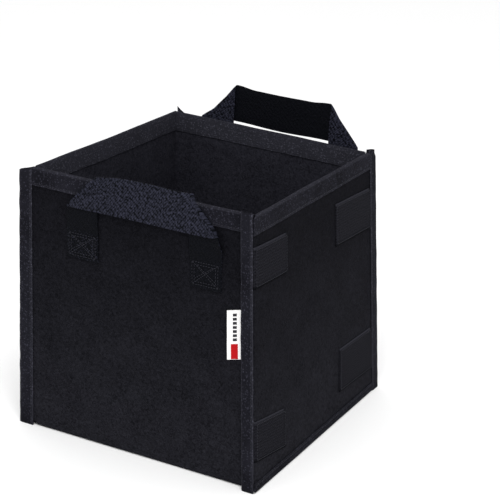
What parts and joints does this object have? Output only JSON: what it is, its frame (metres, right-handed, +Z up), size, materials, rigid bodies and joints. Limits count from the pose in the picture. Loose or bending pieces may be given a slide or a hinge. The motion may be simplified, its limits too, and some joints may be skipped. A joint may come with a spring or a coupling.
{
  "type": "fabric grow bag",
  "caption": "Open-topped square felt grow bag with bound seams, folded webbing carry handles, hook-and-loop patches for joining bags side by side, and a woven tab.",
  "frame": {"origin": "middle of the flat base, on the surface the bag stands on", "axes": "+Z up through the open mouth, -Y out of the front wall, +X out of the wall on the right of someone facing the front"},
  "size_m": [0.2705, 0.2746, 0.3076],
  "materials": {
    "black_felt": "needle-punched nonwoven felt, matt",
    "binding_tape": "folded nonwoven binding tape, lockstitched",
    "handle_webbing": "flat woven webbing, slight sheen",
    "hook_and_loop": "hook-and-loop tape, sewn round its border",
    "woven_label": "woven satin tab"
  },
  "bodies": {
    "bag": {"main_panel": "black_felt", "left_side_panel": "black_felt", "right_side_panel": "black_felt", "front_rim_binding": "binding_tape", "back_rim_binding": "binding_tape", "left_rim_binding": "binding_tape", "right_rim_binding": "binding_tape", "front_left_corner_binding": "binding_tape", "front_right_corner_binding": "binding_tape", "back_right_corner_binding": "binding_tape", "back_left_corner_binding": "binding_tape", "left_base_binding": "binding_tape", "right_base_binding": "binding_tape", "front_handle_left_end": "handle_webbing", "front_handle_right_end": "handle_webbing", "back_handle_left_end": "handle_webbing", "back_handle_right_end": "handle_webbing", "right_patch_front_top": "hook_and_loop", "right_patch_back_top": "hook_and_loop", "right_patch_front_bottom": "hook_and_loop", "right_patch_back_bottom": "hook_and_loop", "left_patch_front_top": "hook_and_loop", "left_patch_back_top": "hook_and_loop", "left_patch_front_bottom": "hook_and_loop", "left_patch_back_bottom": "hook_and_loop"},
    "front_handle": {"front_handle_loop": "handle_webbing"},
    "back_handle": {"back_handle_loop": "handle_webbing"},
    "label_flap": {"side_label": "woven_label"}
  },
  "joints": [
    {"name": "front_handle_swing", "type": "hinge", "parent": "bag", "child": "front_handle", "pos_m": [0, -0.1249, 0.21715], "axis": [1, 0, 0], "range_deg": [0, 165]},
    {"name": "back_handle_swing", "type": "hinge", "parent": "bag", "child": "back_handle", "pos_m": [0, 0.12448, 0.23915], "axis": [-1, 0, 0], "range_deg": [-6, 159]},
    {"name": "label_flap_swing", "type": "hinge", "parent": "bag", "child": "label_flap", "pos_m": [0.10912, -0.12521, 0.1262], "axis": [-0.0165, 0.0189, 0.9997], "range_deg": [0, 85]}
  ]
}
